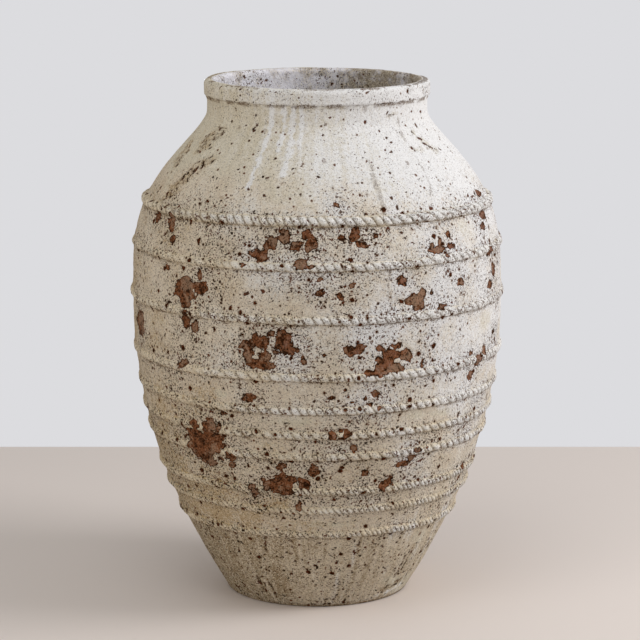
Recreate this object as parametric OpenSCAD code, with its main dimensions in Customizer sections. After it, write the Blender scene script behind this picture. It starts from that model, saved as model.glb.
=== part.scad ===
// Large floor vase of limewashed terracotta with ten applied rope bands.
// The body is built up of stacked clay rings. Each ring carries a lip that laps into the ring above,
// and rope bands cover the seams of the belly and shoulder.
// Millimetres, +Z up. The vase stands on z = 0 and its axis is the Z axis.

/* [Body] */
// Height from the floor to the top of the rim
vase_h = 900; // [860:5:960]
// Outside diameter of the foot at the floor
foot_d = 314; // [290:2:340]
// Outside diameter of the belly at its widest line
belly_d = 642; // [610:2:680]
// Height of the widest line of the belly
belly_z = 510; // [490:2:530]
// Outside diameter of the straight neck under the rim
neck_d = 380; // [350:2:410]
// Height of the straight neck under the rim
neck_h = 29; // [16:1:40]
// Thickness of the wall, square to its surface
wall = 17; // [14:0.5:22]
// Thickness of the base slab
base_t = 22; // [18:1:30]
// Rounding of the lower edge of the foot
foot_round = 5; // [2:0.5:8]

/* [Curve of the wall] */
// Fullness of the curve from the foot to the belly, 1 is a plain cone
foot_power = 2; // [1.7:0.1:2.3]
// Fullness of the shoulder, more keeps it wide for longer
shoulder_power = 3.6; // [3:0.1:4.2]
// Softness of the turn from the shoulder into the neck
neck_power = 1.6; // [1.4:0.1:1.9]

/* [Rim] */
// Height of the rim band
rim_h = 27; // [22:1:34]
// How far the rim band stands out from the neck
rim_over = 5; // [3:0.5:9]
// Rounding of the two top edges of the rim
rim_top_round = 8; // [5:0.5:9]
// Rounding of the lower outer edge of the rim
rim_low_round = 3; // [1.5:0.5:3]

/* [Seams] */
// Height of the lip that laps into the ring above
lip_h = 10; // [7:0.5:13]
// Gap around a lip that the joining clay fills
slip = 0.3; // [0.2:0.05:0.5]
// Gap behind a rope band that the joining clay fills
bed = 0.2; // [0.15:0.05:0.4]

/* [Rope bands] */
// Width of the top rope band
top_rope_w = 21; // [18:0.5:24]
// How far the top rope band stands out
top_rope_out = 7.5; // [6:0.5:9]
// Width of the other rope bands
rope_w = 17.5; // [15:0.5:19]
// How far the other rope bands stand out
rope_out = 5.5; // [4.5:0.5:7]
// Spacing of the twist marks on the shoulder bands, 01 to 03
wide_pitch = 15.5; // [14:0.5:18]
// Spacing of the twist marks on the belly bands, 04 to 10
fine_pitch = 12.5; // [11.5:0.5:15]
// Depth of a twist mark below the crest of its band
mark_depth = 2.4; // [1.6:0.2:3]
// Slant of the twist marks from upright
mark_slant = 32; // [20:1:40]

/* [Rope band heights] */
// Height of rope band 01, over the seam of the shoulder and neck
rope_01_z = 694; // [684:1:704]
// Height of rope band 02
rope_02_z = 623; // [605:1:640]
// Height of rope band 03, over the seam of the upper belly and shoulder
rope_03_z = 535; // [520:1:550]
// Height of rope band 04, over the seam of the middle and upper belly
rope_04_z = 439; // [425:1:452]
// Height of rope band 05
rope_05_z = 382; // [374:1:392]
// Height of rope band 06
rope_06_z = 338; // [332:1:346]
// Height of rope band 07, over the seam of the lower and middle belly
rope_07_z = 299; // [292:1:304]
// Height of rope band 08
rope_08_z = 235; // [229:1:245]
// Height of rope band 09
rope_09_z = 199; // [190:1:205]
// Height of rope band 10, over the seam of the foot and lower belly
rope_10_z = 152; // [142:1:162]

/* [Hidden] */
// Radii and levels that follow from the sizes above
foot_r = foot_d / 2;
belly_r = belly_d / 2;
neck_r = neck_d / 2;
rim_z = vase_h - rim_h;
curve_z = rim_z - neck_h;
rim_r = neck_r + rim_over;
mouth_r = neck_r - wall;
// Height of one strip of the turned wall
strip_h = 8;
// Strips across one rope band, and along one rounded edge
rope_strips = 5;
edge_strips = 6;
// Facets of a full turn in the preview
$fn = 180;
// Colours of the limewash, the bare rim and the rope bands
lime = [0.86, 0.83, 0.76];
rim_lime = [0.90, 0.88, 0.82];
foot_lime = [0.74, 0.70, 0.63];
rope_lime = [0.79, 0.75, 0.67];

// Outside radius of the vase at a height: foot to belly, belly to neck, straight neck
function foot_curve(z) =
    belly_r - (belly_r - foot_r) * pow(1 - z / belly_z, foot_power);
function shoulder_curve(z) =
    let (s = (z - belly_z) / (curve_z - belly_z))
    neck_r + (belly_r - neck_r) * pow(1 - pow(s, shoulder_power), neck_power);
function outer_r(z) =
    z < belly_z ? foot_curve(z) :
    z < curve_z ? shoulder_curve(z) :
    neck_r;

// Change of radius over 1 mm of height, and the angle that the wall leans outwards
function lean(z) = outer_r(z + 0.5) - outer_r(z - 0.5);
function lean_angle(z) = atan(lean(z));

// Inside radius, so that the wall keeps its thickness square to the surface
function inner_r(z) = outer_r(z) - wall * sqrt(1 + pow(lean(z), 2));

// Radius of the joint inside a seam: half way through the wall at the middle of the lip
function lap_r(z) = (outer_r(z + lip_h / 2) + inner_r(z + lip_h / 2)) / 2;

// Outside of the wall upwards, and inside of the wall downwards
function strips(z0, z1) = ceil((z1 - z0) / strip_h);
function level(z0, z1, i) = z0 + (z1 - z0) * i / strips(z0, z1);
function outer_side(z0, z1) =
    [for (i = [0 : strips(z0, z1)]) [outer_r(level(z0, z1, i)), level(z0, z1, i)]];
function inner_side(z0, z1) =
    [for (i = [strips(z0, z1) : -1 : 0]) [inner_r(level(z0, z1, i)), level(z0, z1, i)]];

// Lip on the top of a ring, and the rebate that takes it in the ring above
function lip(z) = [
    [lap_r(z), z],
    [lap_r(z), z + lip_h]
];
function rebate(z) = [
    [lap_r(z) + slip, z + lip_h + slip],
    [lap_r(z) + slip, z]
];

// Section of a wall ring between two seams
function ring_section(z0, z1) = concat(
    outer_side(z0, z1),
    lip(z1),
    inner_side(z0 + lip_h + slip, z1 + lip_h),
    rebate(z0)
);

// Quarter of a circle round a centre, starting at an angle, for rounded edges
function rounded(r, z, radius, from) = [
    for (i = [0 : edge_strips])
        let (a = from + 90 * i / edge_strips)
        [r + radius * cos(a), z + radius * sin(a)]
];

// Point on a rope band: t along the wall from the middle of the band, b out of the wall
function rope_point(z, t, b) =
    let (a = lean_angle(z), zt = z + t * cos(a))
    [outer_r(zt) + bed + b * cos(a), zt - b * sin(a)];

// Section of a rope band: a half round laid on the wall
function rope_section(z, w, out) = concat(
    [for (i = [0 : rope_strips])
        let (a = 180 * i / rope_strips)
        rope_point(z, -w / 2 * cos(a), out * sin(a))],
    [for (i = [rope_strips - 1 : -1 : 1])
        let (a = 180 * i / rope_strips)
        rope_point(z, -w / 2 * cos(a), 0)]
);

module wall_ring(z0, z1) {
    rotate_extrude()
        polygon(ring_section(z0, z1));
}

// V groove across the crest of a band, cut by a square bar laid on its edge
module twist_mark(w) {
    side = 2 * mark_depth;
    translate([side / sqrt(2) - mark_depth, 0, 0])
        rotate([mark_slant, 0, 0])
            rotate(45)
                cube([side, side, 3 * w], center = true);
}

module rope(z, w, out, pitch) {
    marks = round(2 * PI * (outer_r(z) + out) / pitch);
    difference() {
        rotate_extrude()
            polygon(rope_section(z, w, out));
        for (i = [0 : marks - 1])
            rotate(360 * i / marks)
                translate([outer_r(z) + bed, 0, z])
                    rotate([0, lean_angle(z), 0])
                        translate([out, 0, 0])
                            twist_mark(w);
    }
}

module base_slab() {
    color(foot_lime)
        rotate_extrude()
            polygon(concat(
                [[0, 0]],
                rounded(outer_r(foot_round) - foot_round, foot_round, foot_round, -90),
                outer_side(foot_round + 1, base_t),
                lip(base_t),
                inner_side(base_t, base_t + lip_h),
                [[0, base_t]]
            ));
}

module foot_wall() {
    color(foot_lime)
        wall_ring(base_t, rope_10_z);
}

module lower_belly_wall() {
    color(lime)
        wall_ring(rope_10_z, rope_07_z);
}

module middle_belly_wall() {
    color(lime)
        wall_ring(rope_07_z, rope_04_z);
}

module upper_belly_wall() {
    color(lime)
        wall_ring(rope_04_z, rope_03_z);
}

module shoulder_wall() {
    color(lime)
        wall_ring(rope_03_z, rope_01_z);
}

module neck_wall() {
    color(lime)
        wall_ring(rope_01_z, rim_z);
}

module rim_ring() {
    color(rim_lime)
        rotate_extrude()
            polygon(concat(
                rounded(rim_r - rim_low_round, rim_z + rim_low_round, rim_low_round, -90),
                rounded(rim_r - rim_top_round, vase_h - rim_top_round, rim_top_round, 0),
                rounded(mouth_r + rim_top_round, vase_h - rim_top_round, rim_top_round, 90),
                [[mouth_r, rim_z + lip_h + slip]],
                rebate(rim_z)
            ));
}

module rope_band_01() {
    color(rope_lime)
        rope(rope_01_z, top_rope_w, top_rope_out, wide_pitch);
}

module rope_band_02() {
    color(rope_lime)
        rope(rope_02_z, rope_w, rope_out, wide_pitch);
}

module rope_band_03() {
    color(rope_lime)
        rope(rope_03_z, rope_w, rope_out, wide_pitch);
}

module rope_band_04() {
    color(rope_lime)
        rope(rope_04_z, rope_w, rope_out, fine_pitch);
}

module rope_band_05() {
    color(rope_lime)
        rope(rope_05_z, rope_w, rope_out, fine_pitch);
}

module rope_band_06() {
    color(rope_lime)
        rope(rope_06_z, rope_w, rope_out, fine_pitch);
}

module rope_band_07() {
    color(rope_lime)
        rope(rope_07_z, rope_w, rope_out, fine_pitch);
}

module rope_band_08() {
    color(rope_lime)
        rope(rope_08_z, rope_w, rope_out, fine_pitch);
}

module rope_band_09() {
    color(rope_lime)
        rope(rope_09_z, rope_w, rope_out, fine_pitch);
}

module rope_band_10() {
    color(rope_lime)
        rope(rope_10_z, rope_w, rope_out, fine_pitch);
}

base_slab();
foot_wall();
lower_belly_wall();
middle_belly_wall();
upper_belly_wall();
shoulder_wall();
neck_wall();
rim_ring();
rope_band_01();
rope_band_02();
rope_band_03();
rope_band_04();
rope_band_05();
rope_band_06();
rope_band_07();
rope_band_08();
rope_band_09();
rope_band_10();
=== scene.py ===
import math
from collections import namedtuple
from functools import cached_property, partialmethod
from itertools import product

import bpy
import numpy as np
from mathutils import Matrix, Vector
from mathutils.bvhtree import BVHTree

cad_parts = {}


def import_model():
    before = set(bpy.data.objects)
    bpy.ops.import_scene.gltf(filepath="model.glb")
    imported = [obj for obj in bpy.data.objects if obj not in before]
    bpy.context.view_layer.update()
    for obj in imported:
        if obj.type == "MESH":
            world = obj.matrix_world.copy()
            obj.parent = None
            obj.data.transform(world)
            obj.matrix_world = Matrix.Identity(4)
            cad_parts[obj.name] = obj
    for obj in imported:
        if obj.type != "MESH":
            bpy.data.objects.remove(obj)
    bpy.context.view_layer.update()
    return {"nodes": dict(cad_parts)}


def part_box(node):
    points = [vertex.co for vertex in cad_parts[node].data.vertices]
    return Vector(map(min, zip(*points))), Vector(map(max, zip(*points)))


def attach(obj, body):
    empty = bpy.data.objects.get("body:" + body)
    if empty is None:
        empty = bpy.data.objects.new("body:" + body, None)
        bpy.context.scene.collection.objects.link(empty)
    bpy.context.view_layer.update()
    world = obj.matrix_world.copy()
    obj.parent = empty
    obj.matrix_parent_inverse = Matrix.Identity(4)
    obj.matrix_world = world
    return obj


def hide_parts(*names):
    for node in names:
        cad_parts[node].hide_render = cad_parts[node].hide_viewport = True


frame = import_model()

MM = 0.001
SEED = 20

# The camera of the photograph, in metres and in pixels of its 640 x 640 frame.
PHOTO_SIZE = 640
PHOTO_FOCAL_PX = 2790
CAMERA_AT = Vector((0.005, -4.806, 1.397))
CAMERA_DOWN = math.radians(10.86)
SENSOR_WIDTH = 36.0
PIXEL = 1.74 * MM           # what one pixel covers at the vase
WALL_NEAR, WALL_FAR = 4.2, 5.1  # the wall lies between these distances from the camera
SIGHT_STEPS = 1800          # steps along a line of sight
LEAST_FACING = 0.3          # keeps marks near the edge of the view from growing too wide

# Nodes of the frame, from the floor up.
RING_NODES = ["foot_wall", "lower_belly_wall", "middle_belly_wall", "upper_belly_wall",
              "shoulder_wall", "neck_wall"]
ROPE_NODES = [f"rope_band_{i:02d}" for i in range(1, 11)]

# Mesh density.
WALL_STEP = 2.2 * MM        # between points on the outside of a wall
INSIDE_STEP = 6.0 * MM      # between rows on the inside of a wall
MOST_WALL_FACES = 95000     # quads in one wall ring
ROPE_ROWS = 20              # points across the front of a rope band
ROPE_STEP = 1.15 * MM       # between points along a rope band
RIM_ROWS = 64
RIM_STEP = 1.9 * MM         # between points along the rim
JOINT_ROWS = 4              # rows of the lip and the rebate of a wall ring
LEAST_COLUMNS = 64          # points round any ring
CURVE_SAMPLES = 400         # samples of a wall's curve for the spacing of its rows
BACK_EVERY = 5              # the hidden back of a rope band has a row for every so many at its front
UNDER_ROWS, EDGE_ROWS, FLOOR_ROWS = 13, 5, 12  # of the base slab: below, round its edge, and on top
EDGE_ROUND = 5 * MM         # rounding of the base slab's lower edge
AXIS_R = 10 * MM            # radius of the base slab's rows next to the axis
BACK_SHARE, MAP_EDGE = 0.13, 0.004  # of a piece's bake map: the strip of its hidden side, and free edges
SLIP = 0.3 * MM             # gap round a lip, as in the solids

# Hand-built unevenness of the wall: size of a wave and how far it lifts the surface.
SLOW_WAVES = [(150 * MM, 1.2 * MM), (55 * MM, 0.55 * MM)]
FINE_WAVES = [(17 * MM, 0.36 * MM), (7 * MM, 0.34 * MM)]
RAGGED = 11 * MM            # size of the ragged notches round a bare patch
BARE_DEPTH = 1.5 * MM       # how deep a bare patch lies below the limewash
BARE_FAR = 32.0             # bare field of a point far from any patch, mm outside
DEEP_BARE = 8.0             # bare field of hidden clay faces, mm inside
PATCH_GROW = 1.18           # makes up for what the ragged edge takes off a patch
PATCH_GROW_RIGHT = 1.0      # the thicker wash on the right covers more of the patches there
RIGHT_FROM = 330            # pixel column where the right starts
SCRAPE_GROW, PIT_GROW = 1.25, 0.95

# Sides of the vase and a level on it that the marks follow.
WASH_AND_LIGHT_SIDE = math.radians(-22)       # here the limewash is thickest and its colour is lightened toward the lamp on the right: painted light along with the wash's own tone
CRUST_SIDE = math.radians(-30)      # here the crust is smoothest
RIM_STAIN_SIDE = math.radians(-20)
FOOT_TOP = 0.20                     # metres above the floor

# Twist of the rope bands.
WIDE_PITCH = 17.5 * MM      # lobes of bands 01 to 07
FINE_PITCH = 10.0 * MM      # lobes of bands 08 to 10
ROPE_SLANT = math.radians(36)
ROPE_LOW = 0.92             # the bands are pressed a little flatter than their solids
ROPE_WOBBLE = 1.6 * MM
ROPE_SUNK = 0.5 * MM        # how far the edges of a band lie inside the wall
ROPE_WORN_SIDE = math.radians(-165)
ROPE_BACK = 2.0 * MM        # how far the hidden back of a band lies inside the wall
TOP_WEAR, WIDE_WEAR, FINE_WEAR = 0.1, 0.7, 0.3  # how flat the worn stretches of a band are

# Bare clay patches that the photograph shows: centre, width and height in pixels, tilt in degrees.
Patch = namedtuple("Patch", "x y w h tilt", defaults=(0,))


def patches(*places):
    return [Patch(*place) for place in places]


SHOULDER_PATCHES = patches(
    (171.5, 224, 5, 17), (172.7, 239, 5, 8), (158.3, 218, 5, 10), (167, 267, 3, 5), (271.6, 243.8, 11, 12),
    (283.7, 231, 7, 5), (285, 239.3, 9, 10), (295.8, 245.7, 13, 9, 30), (306, 234.8, 9, 11), (311.8, 243.8, 11, 15),
    (261.4, 255.3, 17, 9, -15), (299.6, 264.8, 11, 9), (311, 266.7, 5, 4), (243.5, 264, 5, 4), (337.4, 206, 6, 6),
    (341, 238, 9, 6), (354.6, 234.8, 13, 11, 30), (362.3, 245, 12, 8, -20), (375.7, 236, 5, 5),
    (448.4, 234.8, 6, 7), (437, 249.8, 16, 8), (440, 241, 5, 7), (451.6, 245.7, 8, 7), (445.8, 255.5, 4, 8),
    (432.4, 246, 5, 7), (477.7, 192.8, 6, 7), (482.8, 215.7, 5, 10), (482.8, 226.6, 5, 9), (488.6, 251.4, 6, 8),
    (495, 255, 3, 5),
)
BELLY_PATCHES = patches(
    (199.5, 274.4, 5, 9), (184.8, 291, 17, 23), (199, 288, 14, 12), (184.2, 303, 9, 8), (320, 280, 5, 5),
    (320, 293, 7, 6), (186, 318, 8, 13), (195, 326.4, 7, 10), (187, 325, 7, 5), (140, 322, 7, 25),
    (183, 362.7, 10, 6, 20), (245.4, 344.8, 10, 9), (248.6, 353.8, 10, 14), (260, 342.3, 18, 11),
    (255.6, 338.5, 7, 7), (252.4, 361.4, 11, 8), (265.2, 357.6, 12, 12), (261.4, 365.3, 17, 8),
    (272.9, 365.3, 5, 5), (271.6, 332.7, 6, 5), (283, 336, 14, 9), (283, 344.8, 18, 14), (290, 351, 13, 8),
    (276.7, 352.5, 7, 5), (297, 351, 4, 4), (303.5, 360.8, 5, 7), (324, 355.7, 4, 3), (248.6, 397.8, 12, 7),
    (493.7, 269.3, 4, 16), (490.5, 284, 6, 9), (460.5, 282, 6, 9), (402.5, 281.4, 13, 9, -15), (422.2, 293.2, 9, 9),
    (417, 300.2, 15, 13), (408.2, 300.8, 8, 6), (417, 308, 14, 5), (431, 293, 4, 5), (440.7, 306.6, 9, 7),
    (352, 286, 8, 5), (341, 297, 7, 8), (349.5, 351, 11, 10), (359.7, 349.3, 11, 11), (378.9, 348.7, 7, 7),
    (396.7, 346, 10, 8), (391.6, 355, 17, 14), (405.7, 355, 15, 12, -20), (385.3, 365.3, 19, 15),
    (395.5, 366.5, 15, 12), (371.2, 373, 12, 7), (381.4, 373, 12, 6), (379.5, 358.9, 8, 6),
    (422.2, 362.7, 3, 9, -20), (470, 353.8, 5, 5), (483.5, 350, 5, 12, -22), (477, 360, 6, 12, -28),
    (470, 374, 6, 11, -15), (493.7, 332, 3, 6), (377, 394, 9, 8), (346.4, 390, 4, 4), (332.3, 398.4, 9, 4),
    (364.8, 399, 5, 5),
)
LOWER_PATCHES = patches(
    (195.5, 424.2, 8, 8), (210.8, 425.5, 14, 12), (196, 435.7, 18, 16), (211.4, 437, 18, 15), (194.8, 446, 12, 10),
    (216.5, 443.4, 14, 12), (201.2, 452.3, 19, 11), (208.9, 460, 13, 11), (207, 444, 24, 20), (222.9, 444.6, 7, 5),
    (230.6, 456, 11, 9), (231.2, 465, 5, 6), (219.7, 458.7, 6, 4), (224, 413.4, 7, 4), (281, 465.7, 10, 6),
    (284, 483, 17, 20), (271.4, 484.8, 18, 11), (285.4, 490.6, 14, 8), (304.5, 483.5, 12, 10), (300.7, 494.4, 5, 3),
    (298.8, 507, 5, 8), (293.7, 513, 4, 3), (252, 485.5, 6, 6), (256.7, 490.6, 9, 7), (254.8, 496.3, 4, 5),
    (313.5, 470.8, 10, 10), (346.4, 432, 7, 9), (333, 437, 7, 6), (342, 438, 8, 3), (353.4, 449, 6, 9),
    (364.8, 472.7, 6, 8), (415.9, 449.7, 7, 6), (410.8, 458.7, 7, 11, -20), (405, 463.8, 12, 6, 20),
    (399.3, 465, 7, 6), (425.4, 447, 4, 4), (385.3, 483, 13, 10), (389, 479, 7, 5, 25), (382, 489.3, 6, 5),
    (363, 491, 6, 4), (472, 457.4, 4, 7), (461.8, 465.7, 3, 7), (458, 478, 3, 6),
)
# Red spots in the marks of two bands.
BAND_PATCHES = patches(
    (338, 401, 4, 3), (345, 409, 4, 3), (352, 402, 4, 3), (360, 408, 4, 4), (370, 404, 4, 3), (378, 408, 4, 3),
    (331, 433, 6, 4), (341, 431, 5, 4),
)
# Patches on the sides that the photograph hides are scattered in clusters like those in front.
HIDDEN_CLUSTERS = 34
HIDDEN_FROM, HIDDEN_TO = math.radians(-8), math.radians(188)
HIDDEN_HEIGHTS = (0.20, 0.72)
HIDDEN_SIZES = (6, 24)        # millimetres
HIDDEN_COUNTS = (1, 7)        # patches in a cluster: from the first number to one less than the second
HIDDEN_SPREAD = 0.8           # how far a cluster spreads, as a share of its size
HIDDEN_HALVES = (0.25, 0.75)  # half width and half height of a patch, as shares of the size
HIDDEN_TILT = 0.6             # largest tilt, in radians

# Strokes on the surface by kind: width in pixels, and points in pixels.
STROKES = {
    "wash": [
        (5, [(272, 106), (271, 124), (266, 142), (256, 166), (249, 187)]),
        (5, [(285, 106), (284, 125), (278, 150)]), (6, [(293.6, 106), (292, 135), (288, 156), (283, 176)]),
        (4, [(302, 105), (301, 126), (299, 147)]), (3, [(264, 579), (270, 590), (276, 600)]),
        (5, [(402, 582), (390, 590), (376, 595)]),
    ],
    "drip": [
        (6, [(371, 165), (374, 182), (381, 198), (385, 215)]), (4, [(397, 117), (400, 128), (405, 141)]),
        (5, [(390, 268), (389, 286), (391, 306)]), (3, [(418, 160), (424, 172), (429, 182), (431, 208)]),
    ],
    "torn": [
        (5, [(387, 116), (397, 113)]), (9, [(416, 136), (422, 140), (427, 145), (436, 149)]),
        (6, [(411, 149), (420, 150), (426, 147)]),
    ],
    "crack": [
        (2, [(218, 127), (227, 129)]), (2, [(283, 422), (286, 427), (290, 423)]),
        (2, [(291, 444), (294, 449), (297, 445)]), (2, [(244, 428), (258, 430)]),
        (4, [(267, 532), (265, 541), (266, 550)]), (4, [(257, 577), (262, 585), (268, 595)]),
        (3, [(269, 583), (277, 597)]), (4, [(411, 552), (401, 570)]), (5, [(405, 557), (394, 578)]),
        (4, [(407, 573), (401, 584)]),
    ],
}
# Rough spots where the limewash is scraped.
SCRAPES = patches(
    (212, 138, 18, 17, 40), (205, 148, 13, 11, 40), (202, 164, 20, 12, 30), (191, 174, 18, 12, 40),
    (179, 184, 16, 12, 40), (171, 194, 13, 10, 30), (189, 146, 7, 12, -40), (179, 159, 7, 13, -40),
    (233, 554, 8, 7), (392, 584.6, 18, 8, 15),
)
# Places where the crust is rougher than around them, then smoother.
ROUGH_PLACES = patches(
    (405, 236, 80, 36), (225, 238, 60, 36), (320, 455, 90, 44), (440, 438, 60, 36), (285, 290, 70, 32),
)
SMOOTH_PLACES = patches(
    (222, 312, 60, 44), (280, 420, 90, 16), (270, 447, 62, 16), (205, 392, 60, 18), (225, 512, 70, 26),
    (300, 525, 70, 14),
)
# Single pits that stand out.
PITS = patches(
    (256, 115.5, 3, 4), (257, 125, 3, 4), (254, 130, 4, 6, 50), (246, 125.5, 3, 3), (220, 153, 4, 3),
    (238, 169.5, 4, 3), (213, 177, 3, 3), (263, 176.5, 5, 4, -30), (267, 178, 5, 3), (248.5, 190, 4, 3),
    (264, 195.5, 5, 3), (228, 197.5, 4, 3), (225.5, 187, 3, 4), (278, 187.5, 4, 3), (365, 122, 4, 5),
    (359, 122, 3, 3), (379, 131, 4, 3, -40), (391, 142.5, 5, 3), (391, 152, 4, 3), (390, 173, 5, 4, -40),
    (391.5, 198, 4, 7, 30), (397, 207.5, 4, 6), (359.5, 194.5, 4, 4), (357.5, 183.5, 3, 3),
    (371.5, 162.5, 4, 3, -40), (378, 168, 3, 3), (416, 125, 3, 7), (412, 111.5, 3, 3), (421, 111.5, 3, 3),
    (412, 148, 4, 3), (440, 149, 3, 3), (467.5, 195.5, 4, 4), (472, 196.5, 4, 3), (302, 166, 4, 3),
    (318, 177, 5, 4), (330, 118, 4, 4), (323, 135, 4, 4), (345, 190, 4, 3), (290, 199, 4, 4), (310, 196, 4, 3),
    (419.5, 138.5, 7, 5, -35), (425.5, 144, 6, 4, -35), (431, 147, 6, 3, -25), (362.5, 158, 3, 3),
    (366.5, 161, 3, 3), (386, 138, 4, 3), (385, 150, 3, 3), (430.5, 208.5, 6, 5), (366, 214.5, 5, 5),
    (371.5, 217, 6, 5), (161.7, 242.5, 5, 4, 30), (154.3, 248.5, 4, 4), (160.8, 255.8, 3, 6, -40),
    (165, 234.5, 4, 3, 40), (388, 228.5, 5, 4, 30), (412.5, 242.5, 5, 3, -30), (405, 238, 5, 3, -20),
    (401.5, 232.5, 4, 4), (387.5, 247, 4, 3), (395, 225, 3, 3), (264.5, 283, 3, 8, 15), (263, 291, 6, 4, -30),
    (246, 293.5, 8, 5, 20), (210, 302, 4, 3), (232, 233, 5, 3), (220, 282, 3, 3), (333, 299, 6, 2, 10),
    (320, 302.5, 3, 5), (316, 307, 4, 3), (378, 304, 6, 3, 30), (356, 301, 5, 3, 30), (446, 273, 3, 6),
    (390, 269.5, 6, 5), (223.5, 388.5, 4, 3), (263, 418, 3, 3), (262, 399, 4, 3, -30), (265, 449, 4, 3),
    (304.5, 448.5, 5, 4), (314, 401.5, 4, 4), (257.5, 502.5, 4, 3), (404, 478, 6, 3, 35), (419, 461, 5, 4, 30),
    (428.5, 454.5, 4, 5, 20), (365.5, 443, 4, 3), (435, 435, 3, 4),
)


# ---- noise and small helpers

class Noise:
    """Seeded gradient noise over points in metres."""

    CELLS = 4096

    def __init__(self, seed):
        ways = np.random.default_rng(seed).normal(size=(self.CELLS, 3))
        self.ways = ways / np.linalg.norm(ways, axis=1, keepdims=True)

    def at(self, points, size):
        """Noise from about -1 to 1, with features of the given size."""
        place = points / size
        cell = np.floor(place).astype(np.int64)
        inside = place - cell
        ease = inside ** 3 * (inside * (inside * 6 - 15) + 10)
        total = np.zeros(points.shape[:-1])
        for corner in product((0, 1), repeat=3):
            corner = np.array(corner)
            x, y, z = np.moveaxis(cell + corner, -1, 0)
            index = (x * 73856093 ^ y * 19349663 ^ z * 83492791) & (self.CELLS - 1)
            weight = np.prod(np.where(corner, ease, 1 - ease), axis=-1)
            total += weight * np.sum(self.ways[index] * (inside - corner), axis=-1)
        return total * 1.7

    def layered(self, points, size, layers=3):
        """Sum of noises, each half the size and half the strength of the one before."""
        return sum(self.at(points + 7.3 * i, size / 2 ** i) / 2 ** i for i in range(layers))


def smooth(low, high, value):
    """0 below low, 1 above high, and an even curve between."""
    t = np.clip((value - low) / (high - low), 0, 1)
    return t * t * (3 - 2 * t)


def around(angle):
    """An angle brought between -pi and pi."""
    return (angle + np.pi) % (2 * np.pi) - np.pi


def ring_points(radius, angle, height):
    radius, angle, height = np.broadcast_arrays(radius, angle, height)
    return np.stack([radius * np.cos(angle), radius * np.sin(angle), height], axis=-1)


def mesh_points(mesh):
    points = np.empty(len(mesh.vertices) * 3)
    mesh.vertices.foreach_get("co", points)
    return points.reshape(-1, 3)


def added(name, data):
    """A new object in the scene."""
    thing = bpy.data.objects.new(name, data)
    bpy.context.scene.collection.objects.link(thing)
    return thing


# ---- the outline of the frame

def node_tree(names):
    """Search tree over the solids of some nodes."""
    corners, faces = [], []
    for name in names:
        mesh = frame["nodes"][name].data
        first = len(corners)
        corners += [v.co.copy() for v in mesh.vertices]
        faces += [[first + i for i in p.vertices] for p in mesh.polygons]
    return BVHTree.FromPolygons(corners, faces)


class Outline:
    """Outside and inside radius of the wall by height, read from the solids with level rays."""

    STEP = 2 * MM
    START = 0.7 * MM   # keeps the rays off the level faces of the seams
    SOFT = 4           # samples over which the outline is evened

    def __init__(self):
        tree = node_tree(["base_slab"] + RING_NODES)
        self.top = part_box("rim_ring")[0].z
        self.heights = np.arange(self.START, self.top, self.STEP)
        self.outside = self.read(tree, 1.0, -1, self.heights)
        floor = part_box("foot_wall")[0].z
        self.inside_heights = self.heights[self.heights > floor]
        self.inside = self.read(tree, 0.0, 1, self.inside_heights)

    def read(self, tree, start, way, heights):
        hits = [tree.ray_cast(Vector((start, 0, z)), Vector((way, 0, 0)))[0].x for z in heights]
        padded = np.pad(np.array(hits), self.SOFT, mode="reflect", reflect_type="odd")
        window = np.hanning(2 * self.SOFT + 3)[1:-1]
        return np.convolve(padded, window / window.sum(), mode="valid")

    def radius(self, z):
        return np.interp(z, self.heights, self.outside)

    def inner(self, z):
        return np.interp(z, self.inside_heights, self.inside)

    def lean(self, z):
        """Angle that the outside leans outwards, from upright."""
        return np.arctan((self.radius(z + 3 * MM) - self.radius(z - 3 * MM)) / (6 * MM))


class NodeSizes:
    """Levels and joint radii of a node, read from its solid."""

    NEAR = 0.05 * MM

    def __init__(self, name):
        points = mesh_points(frame["nodes"][name].data)
        radius, height = np.hypot(points[:, 0], points[:, 1]), points[:, 2]
        self.low, self.high = height.min(), height.max()
        self.out_r, self.in_r = radius.max(), radius.min()
        self.lip_r = radius[height > self.high - self.NEAR].max()
        self.rebate_r = radius[height < self.low + self.NEAR].min()


class Rope:
    """Place and size of one rope band, read from its solid."""

    def __init__(self, name, pitch, wear):
        low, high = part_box(name)
        self.name, self.wear = name, wear
        self.z = (low.z + high.z) / 2
        self.r = float(outline.radius(self.z))
        self.lean = float(outline.lean(self.z))
        self.half_width = (high.z - low.z) / 2 / math.cos(self.lean)
        self.out = (high.x - self.r) / math.cos(self.lean)
        self.lobes = round(2 * math.pi * (self.r + self.out) / pitch)


outline = Outline()
noise = Noise(SEED)
ropes = ([Rope(ROPE_NODES[0], WIDE_PITCH, TOP_WEAR)]
         + [Rope(name, WIDE_PITCH, WIDE_WEAR) for name in ROPE_NODES[1:7]]
         + [Rope(name, FINE_PITCH, FINE_WEAR) for name in ROPE_NODES[7:]])


# ---- marks on the surface

def on_wall(x, y):
    """Angle and height of the wall point that a pixel of the photograph shows."""
    centre = PHOTO_SIZE / 2
    right, up = (x - centre) / PHOTO_FOCAL_PX, (centre - y) / PHOTO_FOCAL_PX
    way = np.array([right,
                    math.cos(CAMERA_DOWN) + up * math.sin(CAMERA_DOWN),
                    up * math.cos(CAMERA_DOWN) - math.sin(CAMERA_DOWN)])
    far = np.linspace(WALL_NEAR, WALL_FAR, SIGHT_STEPS)[:, None]
    places = np.array(CAMERA_AT) + far * way
    gap = np.hypot(places[:, 0], places[:, 1]) - outline.radius(places[:, 2])
    hits = np.flatnonzero(gap < 0)
    place = places[hits[0] if len(hits) else gap.argmin()]
    return math.atan2(place[1], place[0]), place[2]


Spot = namedtuple("Spot", "angle z half_w half_h tilt")


def spot_from_photo(patch, grow=1.0):
    angle, z = on_wall(patch.x, patch.y)
    facing = max(LEAST_FACING, math.cos(angle + math.pi / 2))
    half = grow * PIXEL / 2
    return Spot(angle, z, patch.w * half / facing, patch.h * half, math.radians(patch.tilt))


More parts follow.
